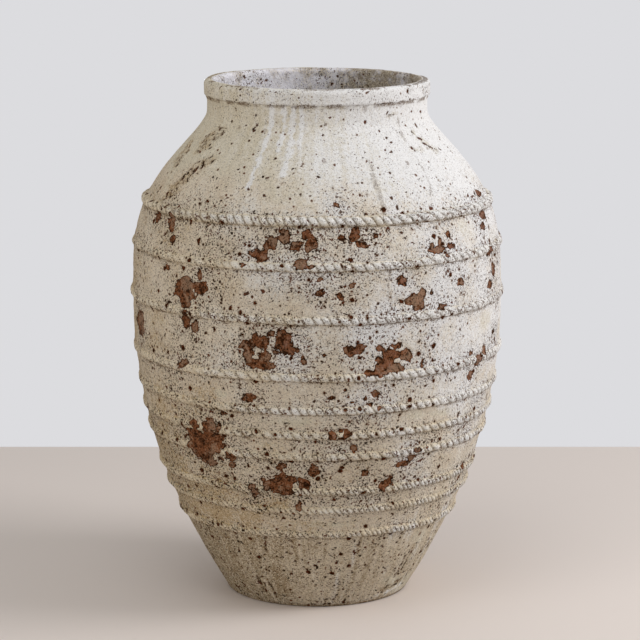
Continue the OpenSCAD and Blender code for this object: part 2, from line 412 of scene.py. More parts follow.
def hidden_spots():
    """Clusters of patches for the sides and the back."""
    rng = np.random.default_rng(SEED + 1)
    spots = []
    for _ in range(HIDDEN_CLUSTERS):
        angle, z = rng.uniform(HIDDEN_FROM, HIDDEN_TO), rng.uniform(*HIDDEN_HEIGHTS)
        size = rng.uniform(*HIDDEN_SIZES) * MM
        for _ in range(rng.integers(*HIDDEN_COUNTS)):
            away = rng.normal(size=2) * size * HIDDEN_SPREAD
            half = size * rng.uniform(*HIDDEN_HALVES, size=2)
            tilt = rng.uniform(-HIDDEN_TILT, HIDDEN_TILT)
            spots.append(Spot(angle + away[0] / outline.radius(z), z + away[1], *half, tilt))
    return spots


def spot_distance(spot, angle, z):
    """How deep a point lies inside a spot, in metres; less than 0 outside."""
    across = around(angle - spot.angle) * outline.radius(spot.z)
    along = (z - spot.z) / math.cos(outline.lean(spot.z))
    c, s = math.cos(spot.tilt), math.sin(spot.tilt)
    a = (across * c + along * s) / spot.half_w
    b = (along * c - across * s) / spot.half_h
    return (1 - np.sqrt(a * a + b * b)) * min(spot.half_w, spot.half_h)


def bare_field(points, angle, z):
    """Depth inside the nearest bare patch in millimetres, with a ragged edge."""
    field = np.full(angle.shape, -BARE_FAR)
    ragged = noise.layered(points, RAGGED, 3)
    for spot in bare_spots:
        small = min(spot.half_w, spot.half_h) / MM
        depth = spot_distance(spot, angle, z) / MM + ragged * (0.30 * small + 1.6)
        field = np.maximum(field, depth)
    return field


def stroke_distance(stroke_points, angle, z):
    """Distance of each point from a stroke, in metres."""
    least = np.full(angle.shape, 1.0)
    places = [on_wall(x, y) for x, y in stroke_points]
    for (a0, z0), (a1, z1) in zip(places, places[1:]):
        r = outline.radius((z0 + z1) / 2)
        ux, uz = around(angle - a0) * r, z - z0
        vx, vz = around(a1 - a0) * r, z1 - z0
        t = np.clip((ux * vx + uz * vz) / (vx * vx + vz * vz), 0, 1)
        least = np.minimum(least, np.hypot(ux - t * vx, uz - t * vz))
    return least


def stroke_field(points, angle, z, kind):
    """0 to 1: how much a kind of stroke covers each point."""
    field = np.zeros(angle.shape)
    broken = noise.layered(points, 9 * MM, 2)
    for width, stroke_points in STROKES[kind]:
        half = width * PIXEL / 2
        gap = stroke_distance(stroke_points, angle, z) + broken * half * 0.9
        field = np.maximum(field, 1 - smooth(half * 0.3, half * 1.3, gap))
    return field


def spots_field(spots, angle, z, low, high, ragged=0.0):
    """0 to 1: how much some spots cover each point. Low and high are the depths where the edge starts and ends."""
    field = np.zeros(angle.shape)
    for spot in spots:
        deep = spot_distance(spot, angle, z) / min(spot.half_w, spot.half_h)
        field = np.maximum(field, smooth(low, high, deep + ragged))
    return field


def torn_field(points, angle, z):
    """0 to 1: where the limewash is torn up, in scrapes and along strokes."""
    return np.maximum(0.7 * stroke_field(points, angle, z, "torn"), spots_field(scrape_spots, angle, z, -0.3, 0.5))


def rope_gap(z):
    """Distance along the wall to the nearest rope band, in half widths; above a band it is more than 0."""
    gaps = np.stack([(z - rope.z) / math.cos(rope.lean) / rope.half_width for rope in ropes])
    nearest = np.abs(gaps).argmin(axis=0)
    return np.take_along_axis(gaps, nearest[None], axis=0)[0]


bare_spots = [spot_from_photo(p, PATCH_GROW_RIGHT if p.x > RIGHT_FROM else PATCH_GROW)
              for p in SHOULDER_PATCHES + BELLY_PATCHES + LOWER_PATCHES + BAND_PATCHES]
bare_spots += hidden_spots()
scrape_spots = [spot_from_photo(p, SCRAPE_GROW) for p in SCRAPES]
pit_spots = [spot_from_photo(p, PIT_GROW) for p in PITS]
rough_spots = [spot_from_photo(p) for p in ROUGH_PLACES]
smooth_spots = [spot_from_photo(p) for p in SMOOTH_PLACES]


def relief(points, waves):
    return sum(noise.at(points, size) * lift for size, lift in waves)


def pit_field(points, often):
    """0 to 1: open pits of a few millimetres. They are rare where often is 0 and common where it is 1."""
    ground = noise.at(points + 3.1, 8 * MM) + 0.5 * noise.at(points + 1.7, 4 * MM)
    return smooth(0.62, 0.86, ground - 0.22 * (1 - often))


def single_pits(points, angle, z):
    """0 to 1: the single pits of the photograph."""
    return spots_field(pit_spots, angle, z, -0.1, 0.7, 0.45 * noise.layered(points, 5 * MM, 2))


def wash_and_light_field(points, angle, z):
    """How thick the limewash is, from 0 to 1.1, with painted light and shade in it. It is thickest and lightest on
    the shoulder and on the right, partly the wash's own tone and partly painted light from the lamps on the right and
    above; toward the foot it is darker, partly as painted shade.
    """
    side = 0.5 + 0.5 * np.cos(angle - WASH_AND_LIGHT_SIDE)
    belly, shoulder = smooth(0.14, 0.52, z), smooth(0.67, 0.80, z)
    foot, low = smooth(FOOT_TOP, 0.14, z), smooth(0.44, 0.32, z)
    patchy = noise.layered(points, 80 * MM, 3)
    # Noise that is stretched up the wall, like strokes of a brush
    brushed = noise.layered(ring_points(0.3, angle, 0.12 * z), 14 * MM, 2) * (0.12 * shoulder + 0.30 * foot)
    # The side and height terms lighten the colour where the lamps fall and darken it toward the foot: painted light
    # and shade along with the wash's own tone.
    return np.clip(-0.23 + (0.71 + 0.07 * low) * side + 0.43 * belly + 0.23 * shoulder
                   + (0.22 - 0.16 * shoulder - 0.12 * foot) * patchy + brushed, 0, 1.1)


def crust_field(points, angle, z, bare, gap):
    """0 to 1: where the wash is a rough crust full of specks. It ends above the top band."""
    near = 0.25 * smooth(2.6, 1.0, np.abs(gap)) + 0.42 * smooth(-30, -1, bare)
    right = smooth(-0.2, 0.9, np.cos(angle - CRUST_SIDE))
    foot, low = smooth(FOOT_TOP, 0.13, z), smooth(0.40, 0.30, z)
    patchy = noise.layered(points + 11, 75 * MM, 3)
    rougher, smoother = (spots_field(spots, angle, z, -0.4, 0.6) for spots in (rough_spots, smooth_spots))
    patchy += 0.6 * rougher - 0.9 * smoother
    rough = 0.45 + 0.40 * patchy + near - 0.16 * right + 0.18 * low - 0.16 * foot
    return np.clip(rough, 0, 1) * smooth(0.80, 0.69, z)


def bare_share(bare):
    """0 outside the bare patches and 1 inside them."""
    return smooth(-0.6, 1.0, bare)


Wear = namedtuple("Wear", "bare crust gap crack drip wash_stroke torn flakes pit")


def wall_wear(points, angle, z):
    """What the years have done to each point on the outside of the wall."""
    bare, gap = bare_field(points, angle, z), rope_gap(z)
    crust = crust_field(points, angle, z, bare, gap)
    crack, drip, wash_stroke = (stroke_field(points, angle, z, kind) for kind in ("crack", "drip", "wash"))
    torn = torn_field(points, angle, z)
    flakes = noise.layered(points, 6.5 * MM, 2)
    hollow = torn * smooth(0.2, 0.6, -flakes)
    pit = np.maximum(pit_field(points, crust + smooth(FOOT_TOP, 0.13, z)), single_pits(points, angle, z))
    pit = np.maximum(pit, np.maximum(hollow, 0.5 * crack))
    return Wear(bare, crust, gap, crack, drip, wash_stroke, torn, flakes, pit)


def wall_grime_and_shade(points, z, wear):
    """0 to 1: dark lines below the ropes, under the rim and at the floor, which are painted shade along with dirt;
    dirt in smears and stains, and in torn places.
    """
    broken = smooth(-0.8, 0.2, noise.layered(points + 8, 22 * MM, 2))
    # Below the bands, under the rim and at the floor: painted shade along with dirt.
    below = smooth(-1.55, -1.05, wear.gap) * smooth(-0.7, -1.0, wear.gap) * broken
    rim_line = smooth(outline.top - 9 * MM, outline.top - 2 * MM, z) * broken
    base_line = smooth(14 * MM, 4 * MM, z)
    smear = smooth(0.25, 0.8, noise.layered(points * (1, 1, 0.3), 16 * MM, 3)) * smooth(FOOT_TOP, 0.12, z)
    stain = smooth(0.0, 0.6, noise.layered(points + 17, 38 * MM, 3))
    stain = stain * smooth(FOOT_TOP, 0.28, z) * smooth(0.74, 0.66, z)
    grime = 0.65 * below + 0.9 * rim_line + 0.5 * base_line + 0.25 * smear + 0.35 * stain
    grime += 0.9 * wear.crack + 0.6 * wear.drip + wear.torn * (0.22 + 0.72 * smooth(0.3, -0.4, wear.flakes))
    return np.clip(grime, 0, 1)


def wall_lift(points, z, wear):
    """How far each point of the wall is lifted, in metres."""
    gap, patch = wear.gap, bare_share(wear.bare)
    lift = relief(points, SLOW_WAVES) + relief(points, FINE_WAVES) * (0.6 + 0.8 * wear.crust)
    lift += MM * (-0.8 * wear.crack + 0.35 * wear.drip + 0.3 * wear.wash_stroke + 1.8 * wear.torn * wear.flakes)
    lift += MM * (smooth(2.4, 1.0, gap) * (gap > 0) + 0.5 * smooth(-1.7, -1.0, gap) * (gap < 0))
    lift += 2.4 * MM * smooth(outline.top - 9 * MM, outline.top, z)
    lift -= BARE_DEPTH * patch * (0.8 + 0.5 * noise.at(points, RAGGED))
    lift -= 1.2 * MM * wear.pit * (1 - patch)
    return lift


def wall_marks(points, angle, z):
    """All marks on the outside of the wall: the lift of the surface, and fields for the material."""
    wear = wall_wear(points, angle, z)
    wash = wash_and_light_field(points, angle, z) + 0.16 * wear.crust + 0.35 * wear.wash_stroke - 0.25 * wear.torn
    marks = {
        "bare": wear.bare,
        "pit": wear.pit,
        "grime": wall_grime_and_shade(points, z, wear),
        "wash": np.clip(wash, 0, 1.3),
        "crust": wear.crust,
    }
    return wall_lift(points, z, wear), marks


# ---- meshes

# The wash mark holds the limewash's thickness together with painted light and shade; the grime mark holds dirt
# together with painted shade under the bands and the rim, along their edges and at the floor.
MARKS = ["bare", "pit", "grime", "wash", "crust", "inside"]


def bake_map(mesh, rows, cols, front_rows):
    """Lays the front of a ring in strips one above another, and the rest of it in a strip at the bottom."""
    points = mesh_points(mesh)[:rows * cols].reshape(rows, cols, 3)
    length = np.linalg.norm(np.diff(points[:front_rows, 0], axis=0), axis=1).sum()
    turn = 2 * math.pi * np.hypot(points[:front_rows, :, 0], points[:front_rows, :, 1]).mean()
    strips = max(1, round(math.sqrt(0.85 * turn / length)))
    layer = mesh.uv_layers.new(name="OFBake")
    corners = len(mesh.loops)
    at = np.empty(corners, dtype=np.int32)
    mesh.loops.foreach_get("vertex_index", at)
    poly = np.repeat(np.arange(len(mesh.polygons)), [p.loop_total for p in mesh.polygons])
    row, col = poly // cols, poly % cols
    corner_row, corner_col = at // cols, at % cols
    corner_row = np.where((corner_row == 0) & (row == rows - 1), rows, corner_row)
    corner_col = np.where((corner_col == 0) & (col == cols - 1), cols, corner_col)
    per_strip = math.ceil(cols / strips)
    strip = col // per_strip
    u = (corner_col - strip * per_strip) / per_strip
    v = corner_row / (front_rows - 1)
    strip_height = (1 - BACK_SHARE) / strips
    front_u = MAP_EDGE + u * (1 - 2 * MAP_EDGE)
    front_v = BACK_SHARE + strip * strip_height + MAP_EDGE + v * (strip_height - 2 * MAP_EDGE)
    back_u = MAP_EDGE + corner_col / cols * (1 - 2 * MAP_EDGE)
    back_v = MAP_EDGE + (corner_row - front_rows + 1) / (rows - front_rows + 1) * (BACK_SHARE - 2 * MAP_EDGE)
    front = row < front_rows - 1
    uv = np.stack([np.where(front, front_u, back_u), np.where(front, front_v, back_v)], axis=1)
    layer.data.foreach_set("uv", np.clip(uv, 0, 1).astype(np.float32).ravel())


def ring_piece(name, points, marks, front_rows, sharp_rows, material, closed=True):
    """A piece from rows of points round the vase. The last row joins the first unless both end at the axis."""
    rows, cols = points.shape[:2]
    band_rows = rows if closed else rows - 1
    row = np.arange(band_rows)[:, None]
    col = np.arange(cols)[None, :]
    next_row, next_col = (row + 1) % rows, (col + 1) % cols
    quads = np.stack([row * cols + col, row * cols + next_col,
                      next_row * cols + next_col, next_row * cols + col], axis=-1).reshape(-1, 4)
    verts = points.reshape(-1, 3)
    faces = quads.tolist()
    if not closed:
        first, last = np.arange(cols), (rows - 1) * cols + np.arange(cols)
        verts = np.concatenate([verts, [[0, 0, points[0, 0, 2]], [0, 0, points[-1, 0, 2]]]])
        bottom, top = len(verts) - 2, len(verts) - 1
        faces += [[int(b), int(a), bottom] for a, b in zip(first, np.roll(first, -1))]
        faces += [[int(a), int(b), top] for a, b in zip(last, np.roll(last, -1))]
    mesh = bpy.data.meshes.new(name)
    mesh.from_pydata(verts.tolist(), [], faces)
    mesh.polygons.foreach_set("use_smooth", np.ones(len(faces), dtype=bool))
    ends = np.empty(len(mesh.edges) * 2, dtype=np.int32)
    mesh.edges.foreach_get("vertices", ends)
    edge_rows = ends.reshape(-1, 2) // cols
    sharp = (edge_rows[:, 0] == edge_rows[:, 1]) & np.isin(edge_rows[:, 0], sharp_rows)
    mesh.attributes.new("sharp_edge", "BOOLEAN", "EDGE").data.foreach_set("value", sharp)
    for mark in MARKS:
        data = np.zeros(len(verts))
        data[:rows * cols] = np.broadcast_to(marks.get(mark, 0.0), (rows, cols)).ravel()
        mesh.attributes.new(mark, "FLOAT", "POINT").data.foreach_set("value", data.astype(np.float32))
    if closed:
        bake_map(mesh, rows, cols, front_rows)
    mesh.materials.append(material)
    return added(name, mesh)


def placed(piece, node):
    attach(piece, "root")
    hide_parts(node)


def outside_rows(low, high, step):
    """Heights of the rows up the outside of a wall, evenly spaced along its curve."""
    fine = np.linspace(low, high, CURVE_SAMPLES)
    run = np.concatenate([[0], np.cumsum(np.hypot(np.diff(outline.radius(fine)), np.diff(fine)))])
    count = max(3, math.ceil(run[-1] / step))
    return np.interp(np.linspace(0, run[-1], count + 1), run, fine)


def inside_marks(points):
    """Marks on the rough inside, which is paler on the left: painted light where the lamp on the right would shine on
    the inner wall.
    """
    wash = 0.55 + 0.35 * noise.layered(points, 60 * MM, 3) + 0.25 * noise.layered(points + 3, 13 * MM, 2)
    return {
        "inside": 1.0,
        "bare": -BARE_FAR,
        "crust": np.clip(0.4 + 0.5 * noise.layered(points, 50 * MM, 2), 0, 1),
        "grime": np.clip(0.25 * noise.layered(points, 60 * MM, 3), 0, 1),
        # Paler toward the left: painted light.
        "wash": np.clip(wash - 2.2 * points[..., 0], 0, 1),
    }


def inner_relief(points):
    return 0.9 * MM * noise.layered(points, 30 * MM, 3) + 0.8 * relief(points, SLOW_WAVES)


def joined(parts):
    """Rows and marks of several stretches as one."""
    points = np.concatenate([p for p, _ in parts])
    shapes = [p.shape[:2] for p, _ in parts]
    marks = {m: np.concatenate([np.broadcast_to(f.get(m, 0.0), s) for (_, f), s in zip(parts, shapes)])
             for m in MARKS}
    return points, marks


def washed_rows(heights, angle):
    """Rows of the washed outside of the wall."""
    z = heights[:, None] + 0 * angle
    r = outline.radius(z)
    lean = outline.lean(heights)[:, None]
    ground = ring_points(r, angle, z)
    lift, marks = wall_marks(ground, angle + 0 * z, z)
    return ring_points(r + lift * np.cos(lean), angle, z - lift * np.sin(lean)), marks


def inner_rows(heights, angle):
    z = heights[:, None] + 0 * angle
    r = outline.inner(z)
    ground = ring_points(r, angle, z)
    return ring_points(r - inner_relief(ground), angle, z), inside_marks(ground)


def joint_rows(places, angle):
    """Rows of the plain clay faces inside a seam: (radius, height) pairs."""
    r = np.array([p[0] for p in places])[:, None] + 0 * angle
    z = np.array([p[1] for p in places])[:, None]
    return ring_points(r, angle, z), {"bare": DEEP_BARE, "wash": 0.3}


def columns(radius, step):
    """Angles of the points round a ring."""
    count = max(LEAST_COLUMNS, round(2 * math.pi * radius / step))
    return np.linspace(-np.pi, np.pi, count, endpoint=False)[None, :]


def wall_step(low, high, radius, inside_rows):
    """Spacing that keeps a wall ring within its count of faces."""
    step, hidden_rows = WALL_STEP, inside_rows + JOINT_ROWS
    while (len(outside_rows(low, high, step)) + hidden_rows) * 2 * math.pi * radius / step > MOST_WALL_FACES:
        step *= 1.02
    return step


def wall_ring(node, below, above, material):
    """One wall ring with its lip and its rebate."""
    own, upper, lower = NodeSizes(node), NodeSizes(above), NodeSizes(below)
    low, top = own.low, upper.low
    lip_top = own.high + SLIP
    inside = np.linspace(lip_top, lower.high + SLIP, max(4, round((own.high - lower.high) / INSIDE_STEP)))
    widest = max(outline.radius(low), outline.radius(top), own.out_r)
    step = wall_step(low, top, widest, len(inside))
    angle = columns(widest, step)
    heights = outside_rows(low, top, step)
    parts = [
        washed_rows(heights, angle),
        joint_rows([(own.lip_r, top), (own.lip_r, lip_top)], angle),
        inner_rows(inside, angle),
        joint_rows([(own.rebate_r, lower.high + SLIP), (own.rebate_r, low)], angle),
    ]
    points, marks = joined(parts)
    edge, last = len(heights) - 1, len(points) - 1
    sharp = [0, edge, edge + 1, edge + 2, edge + 3, last - 2, last - 1, last]
    piece = ring_piece(f"visual_{node}", points, marks, len(heights), sharp, material)
    placed(piece, node)


def base_slab(material):
    """The slab under the foot wall, with a rounded, chipped lower edge."""
    own, foot = NodeSizes("base_slab"), NodeSizes("foot_wall")
    widest = foot.out_r
    inside_count = max(4, round((foot.high - own.high) / INSIDE_STEP))
    angle = columns(widest, wall_step(foot.low, NodeSizes("lower_belly_wall").low, widest, inside_count))
    turn = np.linspace(-math.pi / 2, 0, EDGE_ROWS + 1)[:-1]
    flat_r = outline.radius(EDGE_ROUND) - EDGE_ROUND
    under_r = np.concatenate([np.linspace(AXIS_R, flat_r, UNDER_ROWS + 1)[:-1], flat_r + EDGE_ROUND * np.cos(turn)])
    under_z = np.concatenate([np.zeros(UNDER_ROWS), EDGE_ROUND + EDGE_ROUND * np.sin(turn)])
    under = joint_rows(list(zip(under_r, under_z)), angle)
    under[1].update({"bare": -BARE_FAR, "grime": 0.8, "wash": 0.2, "crust": 0.5})
    heights = outside_rows(EDGE_ROUND, foot.low, WALL_STEP)
    floor_r = np.linspace(outline.inner(foot.low + 2 * MM), AXIS_R, FLOOR_ROWS)
    ground = ring_points(floor_r[:, None] + 0 * angle, angle, np.full((FLOOR_ROWS, 1), foot.low))
    parts = [
        under,
        washed_rows(heights, angle),
        joint_rows([(own.lip_r, foot.low), (own.lip_r, own.high),
                    (outline.inner(own.high), own.high)], angle),
        (ground, inside_marks(ground)),
    ]
    points, marks = joined(parts)
    top_edge = len(under[0]) + len(heights) - 1
    sharp = list(range(top_edge, top_edge + 5))
    piece = ring_piece("visual_base_slab", points, marks, top_edge + 1, sharp, material, closed=False)
    placed(piece, "base_slab")


def rope_wear(rope, angle, line):
    """0 to 1: where a rope band is worn flat."""
    weather = 0.7 * np.cos(angle - ROPE_WORN_SIDE) + 0.6 * noise.layered(line + 5.0, 130 * MM, 2)
    return smooth(-0.05, 0.85, weather) * rope.wear


def rope_lobes(rope, angle, line, t):
    """0 in the twist marks of a rope band and 1 on the lobes between them."""
    jitter = 2.2 * noise.at(line + 2.0, 260 * MM) + 0.35 * noise.at(line + 4.0, 40 * MM)
    twist = math.tan(ROPE_SLANT) * rope.half_width * rope.lobes / (2 * math.pi * rope.r)
    phase = rope.lobes * angle / (2 * np.pi) + twist * t + jitter
    return np.abs(np.cos(np.pi * (phase - np.floor(phase) - 0.5))) ** 0.5


def rope_grime_and_shade(ground, t, arch, lobe, worn):
    """0 to 1: dirt and painted shade in the twist marks and along the edges of a rope band."""
    # The twist marks are darkened: grime, and painted shade in the hollows.
    groove = (1 - lobe) ** 0.9 * (1 - 0.6 * worn) * arch ** 0.5
    broken = smooth(-0.9, 0.1, noise.layered(ground + 8, 22 * MM, 2))
    upper = smooth(-0.3, 0.3, noise.layered(ground + 14, 26 * MM, 2))
    # Dark lines along the lower and upper edges, where the band meets the wall: painted shade along with dirt.
    edges = smooth(-0.58, -0.92, t) * broken + 0.7 * smooth(0.78, 0.97, t) * upper
    return np.clip(1.2 * groove + 0.75 * edges, 0, 1)


def rope_ground(rope, angle, t, wobble):
    """Radius, height and place of the wall under a rope band; t runs across the band from -1 to 1."""
    z = rope.z + wobble + t * rope.half_width * math.cos(rope.lean)
    r = outline.radius(z)
    return r, z, ring_points(r, angle, z)


def rope_band(rope, material):
    """A coil of clay pressed on the wall, with twist marks, worn stretches, grime and painted shade in the marks, and
    a painted highlight on its crests.
    """
    angle = columns(rope.r, ROPE_STEP)
    line = ring_points(rope.r, angle, rope.z)
    wobble = ROPE_WOBBLE * noise.layered(line, 160 * MM, 2)
    swell = 1 + 0.22 * noise.at(line + 9.0, 30 * MM)
    t = np.sin(np.linspace(-math.pi / 2, math.pi / 2, ROPE_ROWS))[:, None]
    arch = np.where(t > 0, (1 - t ** 2) ** 1.1, (1 - np.abs(t) ** 2.6) ** 0.8)
    worn, lobe = rope_wear(rope, angle, line), rope_lobes(rope, angle, line, t)
    r, z, ground = rope_ground(rope, angle, t, wobble)
    bare = bare_field(ground, angle + 0 * z, z)
    crust = np.clip(0.68 + 0.5 * noise.layered(ground + 11, 60 * MM, 2), 0, 1)
    pit = pit_field(ground, 0.75 * crust)
    height = ROPE_LOW * rope.out * arch * swell * (1 - 0.35 * worn) * (1 - 0.55 * (1 - worn) * (1 - lobe))
    height += (0.45 * MM * noise.layered(ground, 6 * MM, 2) - 0.9 * MM * pit) * arch - ROPE_SUNK * (1 - arch)
    height -= 0.8 * BARE_DEPTH * bare_share(bare) * arch
    r = r + relief(ground, SLOW_WAVES)
    front = ring_points(r + height * math.cos(rope.lean), angle, z - height * math.sin(rope.lean))
    # The crests and lobes are whitened: thicker wash there, and a painted highlight.
    wash = wash_and_light_field(ground, angle, z) + (0.22 + 0.26 * lobe) * arch * (1 - 0.3 * worn)
    marks = {
        "bare": bare,
        "pit": pit,
        "grime": rope_grime_and_shade(ground, t, arch, lobe, worn),
        "wash": np.clip(wash, 0, 1.3),
        "crust": crust,
    }
    back_r, back_z, back_ground = rope_ground(rope, angle, t[::-BACK_EVERY][1:-1], wobble)
    back = ring_points(back_r + relief(back_ground, SLOW_WAVES) - ROPE_BACK, angle, back_z)
    points, marks = joined([(front, marks), (back, {"bare": DEEP_BARE})])
    piece = ring_piece(f"visual_{rope.name}", points, marks, ROPE_ROWS, [0, ROPE_ROWS - 1], material)
    placed(piece, rope.name)


def rim_section():
    """Outline of the rim's section, read with rays from its middle."""
    low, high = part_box("rim_ring")
    own = NodeSizes("rim_ring")
    middle = Vector(((own.out_r + own.in_r) / 2, 0, (low.z + 2 * high.z) / 3))
    tree = node_tree(["rim_ring"])
    turns = np.linspace(-0.75 * math.pi, 1.25 * math.pi, RIM_ROWS, endpoint=False)
    hits = [tree.ray_cast(middle, Vector((math.cos(a), 0, math.sin(a))))[0] for a in turns]
    section = np.array([(p.x, p.z) for p in hits])
    neck = NodeSizes("neck_wall")
    corners = [(own.rebate_r, own.low), (own.rebate_r, neck.high + SLIP), (own.in_r, neck.high + SLIP)]
    corner_rows = [int(np.hypot(*(section - corner).T).argmin()) for corner in corners]
    section[corner_rows] = corners
    return section, turns, corner_rows


def rim_marks(ground, angle, z, low, out_z, chip, pit):
    """Marks on the washed outside of the rim: rubbed on top, darkened below with painted shade along with dirt,
    stained in places.
    """
    broken = smooth(-0.4, 0.4, noise.layered(ground + 8, 22 * MM, 2))
    # Darker along the lower edge under the lip: painted shade along with dirt.
    under = smooth(low + 5 * MM, low + 1 * MM, z) * broken
    rubbed = smooth(0.45, 0.9, out_z) * smooth(-0.45, 0.4, noise.layered(ground + 6.0, 35 * MM, 3))
    stain = smooth(0.05, 0.6, noise.layered(ground + 13, 22 * MM, 3))
    stain = stain * (0.6 + 0.4 * np.cos(angle - RIM_STAIN_SIDE))
    return {
        "bare": -BARE_FAR,
        "pit": pit,
        "grime": np.clip(0.9 * under + 0.9 * rubbed + 0.4 * chip + 0.4 * stain, 0, 1),
        "wash": np.clip(wash_and_light_field(ground, angle, z) + 0.12, 0, 1.2),
        "crust": np.clip(0.22 + 0.5 * noise.layered(ground + 11, 50 * MM, 2), 0, 1),
        "inside": 0.0,
    }


def rim_ring(material):
    """The thick rim, rubbed along its top edge and chipped."""
    section, turns, corner_rows = rim_section()
    own = NodeSizes("rim_ring")
    angle = columns(own.out_r, RIM_STEP)
    r, z = section[:, :1] + 0 * angle, section[:, 1:] + 0 * angle
    ground = ring_points(r, angle, z)
    out_r, out_z = np.cos(turns)[:, None], np.sin(turns)[:, None]
    inner = smooth(0.05, -0.55, out_r)
    out_r, out_z = out_r * (1 - inner) - inner, out_z * (1 - inner)
    seat = smooth(own.low + 0.5 * MM, own.low + 3 * MM, z)
    chip = smooth(0.55, 0.85, noise.layered(ground + 4.0, 12 * MM, 2)) * smooth(0.2, 0.7, out_z)
    pit = pit_field(ground, 0.6)
    lift = 0.8 * relief(ground, SLOW_WAVES) + 0.45 * MM * noise.layered(ground, 24 * MM, 3) - 0.9 * MM * (chip + pit)
    lift = lift * (1 - inner) + inner_relief(ground) * inner
    points = ring_points(r + lift * out_r * seat, angle, z + lift * out_z * seat)
    washed, raw = rim_marks(ground, angle, z, own.low, out_z, chip, pit), inside_marks(ground)
    marks = {m: washed[m] * (1 - inner) + raw.get(m, 0.0) * inner for m in washed}
    piece = ring_piece("visual_rim_ring", points, marks, RIM_ROWS * 3 // 4, corner_rows, material)
    placed(piece, "rim_ring")


# ---- materials

class Shader:
    """Short names for the nodes of a material or of the world."""

    def __init__(self, owner):
        owner.use_nodes = True
        self.owner = owner
        self.nodes, self.links = owner.node_tree.nodes, owner.node_tree.links

    @property
    def surface(self):
        return self.nodes["Principled BSDF"].inputs

    @cached_property
    def place(self):
        return self.node("TexCoord").outputs["Object"]

    def set(self, socket, value):
        if isinstance(value, bpy.types.NodeSocket):
            self.links.new(value, socket)
        else:
            socket.default_value = value

    def node(self, kind, inputs=None, **settings):
        """A new node. Its inputs go by name or number, and its settings come first because inputs depend on them."""
        node = self.nodes.new("ShaderNode" + kind)
        for name, value in settings.items():
            setattr(node, name, value)
        for key, value in (inputs or {}).items():
            self.set(node.inputs[key], value)
        return node

    def mark(self, name):
        return self.node("Attribute", attribute_name=name).outputs["Fac"]

    def noise(self, size, detail, rough=0.55, place=None, output="Fac"):
        inputs = {"Scale": 1 / size, "Detail": detail, "Roughness": rough, "Vector": place or self.place}
        return self.node("TexNoise", inputs).outputs[output]

    def calc(self, operation, a, b):
        return self.node("Math", {0: a, 1: b}, operation=operation).outputs[0]

    plus = partialmethod(calc, "ADD")
    minus = partialmethod(calc, "SUBTRACT")
    times = partialmethod(calc, "MULTIPLY")
    most = partialmethod(calc, "MAXIMUM")

    def centred(self, value, by):
        """A value round 0.5 as one round 0, made stronger."""
        return self.times(self.minus(value, 0.5), by)

    def between(self, value, low, high, to_low=0.0, to_high=1.0):
        inputs = {"Value": value, "From Min": low, "From Max": high, "To Min": to_low, "To Max": to_high}
        return self.node("MapRange", inputs, interpolation_type="SMOOTHSTEP").outputs["Result"]

    def mix(self, factor, a, b):
        return self.node("Mix", {"Factor": factor, "A": a, "B": b}, data_type="RGBA").outputs["Result"]

    def shifted(self, size, by):
        """The place, pushed about by noise, for ragged shapes."""
        inputs = {0: self.noise(size, 3.0, output="Color"), 1: (by, by, by), 2: self.place}
        return self.node("VectorMath", inputs, operation="MULTIPLY_ADD").outputs["Vector"]

    def specks(self, cell, smallest, largest, density, place):
        """Spots of mixed sizes, at most one in a cell, and a soft ring round each."""
        cells = self.node("TexVoronoi", {"Scale": 1 / cell, "Vector": place}).outputs
        chance = self.node("SeparateColor", {"Color": cells["Color"]}).outputs
        there = self.between(self.minus(density, chance["Red"]), 0.0, 0.06)
        size = self.between(chance["Green"], 0.0, 1.0, smallest / cell, largest / cell)
        deep = self.minus(size, cells["Distance"])
        spots = self.times(there, self.between(deep, -0.03, 0.04))
        rings = self.times(there, self.between(deep, -0.20, 0.0))
        return spots, rings


def srgb(r, g, b):
    """A colour from 0-255 screen values, as the shader wants it."""
    def linear(c):
        c /= 255
        return c / 12.92 if c <= 0.04045 else ((c + 0.055) / 1.055) ** 2.4
    return (linear(r), linear(g), linear(b), 1.0)


# Colours of the wash from thin to thick, and how much wash turns its thick spots from warm to white.
Look = namedtuple("Look", "khaki cream white white_from")
LOOKS = {
    # The foot is darker than the wall: partly its own tone, partly painted shade for a foot that faces the floor.
    "foot_limewash": Look(srgb(152, 131, 102), srgb(211, 196, 174), srgb(238, 234, 229), 0.5),
    "wall_limewash": Look(srgb(185, 160, 124), srgb(218, 204, 185), srgb(244, 243, 242), 0.5),
    "rim_limewash": Look(srgb(190, 173, 140), srgb(217, 207, 186), srgb(243, 242, 241), 0.5),
    "rope_limewash": Look(srgb(193, 167, 123), srgb(225, 209, 183), srgb(245, 243, 239), 0.72),
}
CREAM_SMOOTH = srgb(214, 205, 185)  # where there is no crust
WARM_WHITE = srgb(240, 233, 218)  # thick spots where the wash is thin all round
# Dirt, and painted shade under the bands and the rim, in creases and at the floor.
GRIME_AND_SHADE = srgb(106, 80, 52)
SPECK = srgb(46, 26, 10)
SAND = srgb(70, 43, 8)
RING = srgb(158, 122, 78)  # clay that shines through round a speck
SPECK_RED = srgb(98, 50, 28)
SPECK_PALE = srgb(104, 70, 52)
CRUMB_CREAM = srgb(236, 223, 195)
CRUMB = srgb(250, 250, 249)
CLAY_DARK = srgb(52, 27, 8)
CLAY = srgb(142, 90, 58)
CLAY_PALE = srgb(170, 140, 115)
CLAY_FILM = srgb(160, 128, 116)  # thin wash left on the clay where the wash is thick
# Colours of the inside: pale where it is painted as lit, on the left, and dark where it is painted as shaded, with
# random tone between.
INSIDE_PALE = srgb(240, 238, 245)
INSIDE_DARK = srgb(156, 143, 126)


Ground = namedtuple("Ground", MARKS + ["cloud", "blotch", "grain", "grit", "rough", "clean", "bright"])


